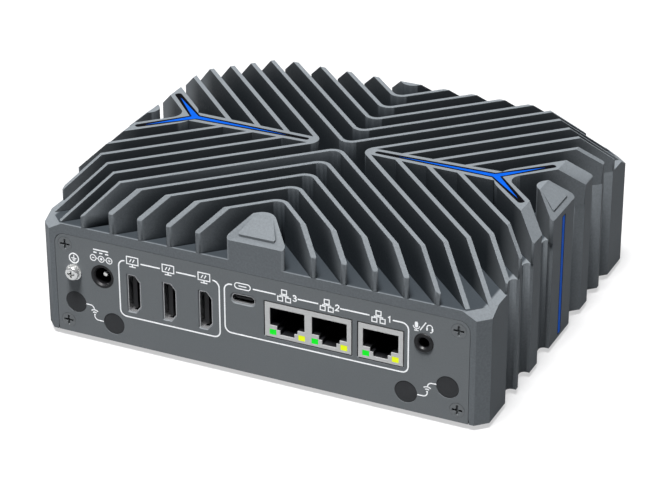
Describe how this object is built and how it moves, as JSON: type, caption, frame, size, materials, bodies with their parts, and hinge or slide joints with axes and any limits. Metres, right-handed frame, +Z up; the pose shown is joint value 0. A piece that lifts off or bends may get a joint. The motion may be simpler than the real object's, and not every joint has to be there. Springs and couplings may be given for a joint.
{
  "type": "mini pc",
  "caption": "Fanless mini pc: a finned metal housing with blue inlays, flush port plates front and rear, a bottom cover, a board inside and a sprung power button.",
  "frame": {"origin": "centre of the footprint, on the surface that the rubber feet rest on", "axes": "+X along the port plates, the main port plate faces -Y, +Z up"},
  "size_m": [0.17, 0.145, 0.06],
  "materials": {
    "cast_grey": "fine textured powder coat on cast aluminium",
    "plate_grey": "satin powder coat on aluminium plate",
    "cover_black": "satin black steel plate",
    "insert_steel": "zinc plated",
    "plate_screw_dark": "grey plated, semi-matte",
    "ground_metal": "bright plated",
    "foot_rubber": "matte",
    "print_white": "screen-printed marks on the port plates",
    "accent_black": "glossy black",
    "accent_blue": "satin blue",
    "jack_black": "moulded black",
    "usb_blue": "moulded blue",
    "port_metal": "stamped, nickel plated",
    "shell_dark": "stamped, black nickel plated",
    "pin_metal": "nickel plated",
    "contact_gold": "gold plated",
    "plug_rubber": "matte moulded",
    "light_green": "translucent",
    "light_yellow": "translucent",
    "light_clear": "translucent",
    "switch_metal": "anodised black",
    "board_laminate": "solder mask",
    "chip_black": "moulded black",
    "pad_grey": "soft thermal pad",
    "spreader": "machined",
    "cell_steel": "bright"
  },
  "bodies": {
    "case": {"antenna_plugs": "plug_rubber", "audio_jack": "jack_black", "board_screws": "insert_steel", "bottom_cover": "cover_black", "coin_cell": "cell_steel", "coin_cell_holder": "chip_black", "cover_screws": "insert_steel", "cpu_package": "chip_black", "dc_centre_pin": "pin_metal", "dc_jack": "jack_black", "dual_lan_core": "jack_black", "dual_lan_shield": "port_metal", "front_plate_screws": "plate_screw_dark", "front_port_plate": "plate_grey", "ground_screw": "ground_metal", "ground_washer": "ground_metal", "hdmi_shell_1": "shell_dark", "hdmi_shell_2": "shell_dark", "hdmi_shell_3": "shell_dark", "hdmi_tongues": "jack_black", "heat_spreader_block": "spreader", "heatsink_housing": "cast_grey", "lan_contacts": "contact_gold", "lan_lights_green": "light_green", "lan_lights_yellow": "light_yellow", "m2_sockets": "chip_black", "mainboard": "board_laminate", "memory_module": "chip_black", "memory_socket": "chip_black", "module_posts": "insert_steel", "module_screws": "insert_steel", "port_fins": "cast_grey", "power_components": "chip_black", "power_switch_body": "switch_metal", "rear_plate_screws": "plate_screw_dark", "rear_port_plate": "plate_grey", "rubber_feet": "foot_rubber", "side_fins_left": "cast_grey", "side_fins_right": "cast_grey", "side_strip_bases": "accent_black", "side_strips_blue": "accent_blue", "single_lan_core": "jack_black", "single_lan_shield": "port_metal", "solid_state_drive": "chip_black", "status_lights": "light_clear", "thermal_pad": "pad_grey", "top_inlay_base_left": "accent_black", "top_inlay_base_right": "accent_black", "top_inlay_blue_left": "accent_blue", "top_inlay_blue_right": "accent_blue", "usb_a_shell_1": "port_metal", "usb_a_shell_2": "port_metal", "usb_a_shell_3": "port_metal", "usb_a_tongues": "usb_blue", "usb_c_shell": "shell_dark", "usb_c_tongue": "jack_black", "vesa_inserts": "insert_steel", "wireless_module": "chip_black"},
    "power_button": {"power_button": "switch_metal"}
  },
  "joints": [
    {"name": "power_press", "type": "slide", "parent": "case", "child": "power_button", "axis": [0, -1, 0], "range_m": [0, 0.0012], "stiffness_N_per_m": 900}
  ]
}
